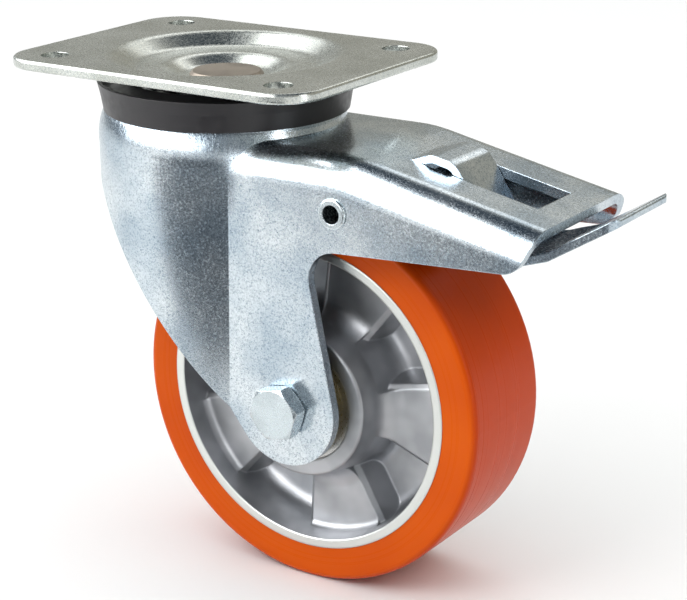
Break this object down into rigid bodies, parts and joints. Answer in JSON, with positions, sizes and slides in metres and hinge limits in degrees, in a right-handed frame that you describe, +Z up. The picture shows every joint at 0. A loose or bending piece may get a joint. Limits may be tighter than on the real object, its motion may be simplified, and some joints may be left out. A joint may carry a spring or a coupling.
{
  "type": "swivel castor",
  "caption": "Plate-mounted swivel castor with a total-lock foot brake, a pressed steel fork and an orange-tyred ball-bearing wheel.",
  "frame": {"origin": "centre of the four-hole pattern on the plate's mounting face, on the swivel axis", "axes": "+Z up out of the mounting face, +X the trailing side with the wheel axle and the brake pedal, +Y across the wheel towards the axle nut"},
  "size_m": [0.2487, 0.1108, 0.2],
  "materials": {
    "zinc_pressing": "zinc-plated pressed steel, satin",
    "fork_zinc": "bright zinc-plated pressed steel with fine grain",
    "zinc_turned": "zinc-plated turned steel",
    "bolt_zinc": "bright zinc-plated hexagon fastener",
    "yellow_zinc": "yellow passivated spacer",
    "bearing_steel": "hardened and ground bearing steel",
    "spring_steel": "tempered spring strip",
    "seal_plastic": "dark moulded plastic seal",
    "polyurethane": "cast orange polyurethane, satin",
    "cast_aluminium": "die-cast aluminium, tumbled, machined rim"
  },
  "bodies": {
    "mounting_head": {"top_plate": "zinc_pressing", "king_pin": "zinc_turned", "pin_sleeve": "bearing_steel", "lower_race": "zinc_turned", "lock_ring": "zinc_pressing", "king_nut": "zinc_turned"},
    "fork_body": {"fork": "fork_zinc", "seal_ring": "seal_plastic", "pivot_rivet": "zinc_turned", "axle_bolt": "bolt_zinc", "nut_washer": "bolt_zinc", "axle_nut": "bolt_zinc", "axle_tube": "zinc_turned", "axle_spacers": "yellow_zinc", "bearing_inner_rings": "bearing_steel"},
    "wheel": {"wheel_centre": "cast_aluminium", "tyre": "polyurethane", "bearing_outer_rings": "bearing_steel", "bearing_shields": "bearing_steel"},
    "swivel_balls": {"upper_balls": "bearing_steel", "lower_balls": "bearing_steel"},
    "wheel_balls": {"bearing_balls": "bearing_steel"},
    "brake": {"brake_lever": "fork_zinc", "brake_shoe": "zinc_pressing", "shoe_rivets": "zinc_turned", "brake_spring": "spring_steel"}
  },
  "joints": [
    {"name": "swivel", "type": "hinge", "parent": "mounting_head", "child": "fork_body", "pos_m": [0, 0, 0], "axis": [0, 0, 1], "continuous": true},
    {"name": "swivel_ball_orbit", "type": "hinge", "parent": "mounting_head", "child": "swivel_balls", "pos_m": [0, 0, 0], "axis": [0, 0, 1], "continuous": true},
    {"name": "wheel_spin", "type": "hinge", "parent": "fork_body", "child": "wheel", "pos_m": [0.052, 0, -0.125], "axis": [0, 1, 0], "continuous": true},
    {"name": "wheel_ball_orbit", "type": "hinge", "parent": "fork_body", "child": "wheel_balls", "pos_m": [0.052, 0, -0.125], "axis": [0, 1, 0], "continuous": true},
    {"name": "brake_pedal", "type": "hinge", "parent": "fork_body", "child": "brake", "pos_m": [0.0746, 0, -0.045], "axis": [0, 1, 0], "range_deg": [0, 6]}
  ],
  "couplings": [
    {"joint": "swivel_ball_orbit", "follows": "swivel", "ratio": 0.5},
    {"joint": "wheel_ball_orbit", "follows": "wheel_spin", "ratio": 0.618}
  ]
}
